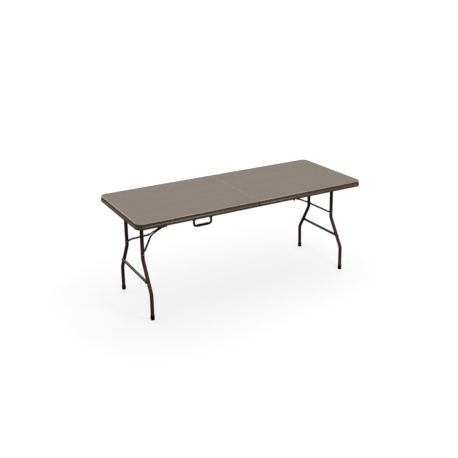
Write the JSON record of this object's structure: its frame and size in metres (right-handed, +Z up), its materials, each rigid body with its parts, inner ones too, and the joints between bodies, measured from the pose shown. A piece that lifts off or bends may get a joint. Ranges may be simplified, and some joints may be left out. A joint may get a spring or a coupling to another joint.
{
  "type": "folding table",
  "caption": "Rectangular folding table: a moulded plastic top in two halves that hinge at the middle, on folding wishbone legs of steel tube, with a carrying handle.",
  "frame": {"origin": "on the floor under the middle of the table top", "axes": "+X along the table's length towards the right half, +Y across its depth away from the edge with the handle, +Z up"},
  "size_m": [1.8, 0.74, 0.74],
  "materials": {
    "moulded_polyethylene": "taupe blow-moulded polyethylene with a fine satin grain",
    "painted_steel": "dark brown powder coat, satin",
    "bright_steel": "zinc plated",
    "black_rubber": "matt black",
    "black_plastic": "satin black"
  },
  "bodies": {
    "left_half": {"back_hinge_pin": "bright_steel", "front_hinge_pin": "bright_steel", "left_back_hinge_leaf": "painted_steel", "left_back_rail": "painted_steel", "left_back_rail_screw_1": "bright_steel", "left_back_rail_screw_2": "bright_steel", "left_brace_bracket": "painted_steel", "left_brace_pin": "bright_steel", "left_front_hinge_leaf": "painted_steel", "left_front_rail": "painted_steel", "left_front_rail_screw_1": "bright_steel", "left_front_rail_screw_2": "bright_steel", "left_handle_bracket": "painted_steel", "left_handle_pin": "bright_steel", "left_top_panel": "moulded_polyethylene", "right_handle_bracket": "painted_steel", "right_handle_pin": "bright_steel"},
    "right_half": {"right_back_hinge_leaf": "painted_steel", "right_back_rail": "painted_steel", "right_back_rail_screw_1": "bright_steel", "right_back_rail_screw_2": "bright_steel", "right_brace_bracket": "painted_steel", "right_brace_pin": "bright_steel", "right_front_hinge_leaf": "painted_steel", "right_front_rail": "painted_steel", "right_front_rail_screw_1": "bright_steel", "right_front_rail_screw_2": "bright_steel", "right_top_panel": "moulded_polyethylene"},
    "left_leg_frame": {"left_back_foot": "black_rubber", "left_back_leg": "painted_steel", "left_back_leg_rivet": "bright_steel", "left_crossbar": "painted_steel", "left_front_foot": "black_rubber", "left_front_leg": "painted_steel", "left_front_leg_rivet": "bright_steel", "left_pivot_tube": "painted_steel"},
    "right_leg_frame": {"right_back_foot": "black_rubber", "right_back_leg": "painted_steel", "right_back_leg_rivet": "bright_steel", "right_crossbar": "painted_steel", "right_front_foot": "black_rubber", "right_front_leg": "painted_steel", "right_front_leg_rivet": "bright_steel", "right_pivot_tube": "painted_steel"},
    "left_brace_arm": {"left_brace_arm": "painted_steel"},
    "right_brace_arm": {"right_brace_arm": "painted_steel"},
    "left_brace_rods": {"left_back_brace_rod": "painted_steel", "left_back_knee_rivet": "bright_steel", "left_front_brace_rod": "painted_steel", "left_front_knee_rivet": "bright_steel"},
    "right_brace_rods": {"right_back_brace_rod": "painted_steel", "right_back_knee_rivet": "bright_steel", "right_front_brace_rod": "painted_steel", "right_front_knee_rivet": "bright_steel"},
    "left_lock_sleeve": {"left_lock_sleeve": "black_plastic"},
    "right_lock_sleeve": {"right_lock_sleeve": "black_plastic"},
    "carrying_handle": {"carrying_handle": "black_plastic"}
  },
  "joints": [
    {"name": "centre_fold", "type": "hinge", "parent": "left_half", "child": "right_half", "pos_m": [0, 0, 0.698], "axis": [0, 1, 0], "range_deg": [0, 90]},
    {"name": "left_leg_fold", "type": "hinge", "parent": "left_half", "child": "left_leg_frame", "pos_m": [-0.789, 0, 0.7186], "axis": [0, -1, 0], "range_deg": [0, 91]},
    {"name": "left_arm_swing", "type": "hinge", "parent": "left_half", "child": "left_brace_arm", "pos_m": [-0.18, 0, 0.7255], "axis": [0, 1, 0], "range_deg": [0, 24]},
    {"name": "left_rods_swing", "type": "hinge", "parent": "left_leg_frame", "child": "left_brace_rods", "pos_m": [-0.79392, 0, 0.43697], "axis": [0, -1, 0], "range_deg": [0, 58.22]},
    {"name": "left_sleeve_slide", "type": "slide", "parent": "left_brace_arm", "child": "left_lock_sleeve", "axis": [-0.9135, 0, -0.4067], "range_m": [0, 0.073]},
    {"name": "right_leg_fold", "type": "hinge", "parent": "right_half", "child": "right_leg_frame", "pos_m": [0.789, 0, 0.7186], "axis": [0, 1, 0], "range_deg": [0, 91]},
    {"name": "right_arm_swing", "type": "hinge", "parent": "right_half", "child": "right_brace_arm", "pos_m": [0.18, 0, 0.7255], "axis": [0, -1, 0], "range_deg": [0, 24]},
    {"name": "right_rods_swing", "type": "hinge", "parent": "right_leg_frame", "child": "right_brace_rods", "pos_m": [0.79392, 0, 0.43697], "axis": [0, 1, 0], "range_deg": [0, 58.22]},
    {"name": "right_sleeve_slide", "type": "slide", "parent": "right_brace_arm", "child": "right_lock_sleeve", "axis": [0.9135, 0, -0.4067], "range_m": [0, 0.073]},
    {"name": "handle_swing", "type": "hinge", "parent": "left_half", "child": "carrying_handle", "pos_m": [-0.433, -0.352, 0.69], "axis": [1, 0, 0], "range_deg": [-90, 90]}
  ],
  "couplings": [
    {"joint": "left_arm_swing", "follows": "left_leg_fold", "ratio": 0.26374},
    {"joint": "left_rods_swing", "follows": "left_leg_fold", "ratio": 0.63978},
    {"joint": "right_arm_swing", "follows": "right_leg_fold", "ratio": 0.26374},
    {"joint": "right_rods_swing", "follows": "right_leg_fold", "ratio": 0.63978}
  ]
}
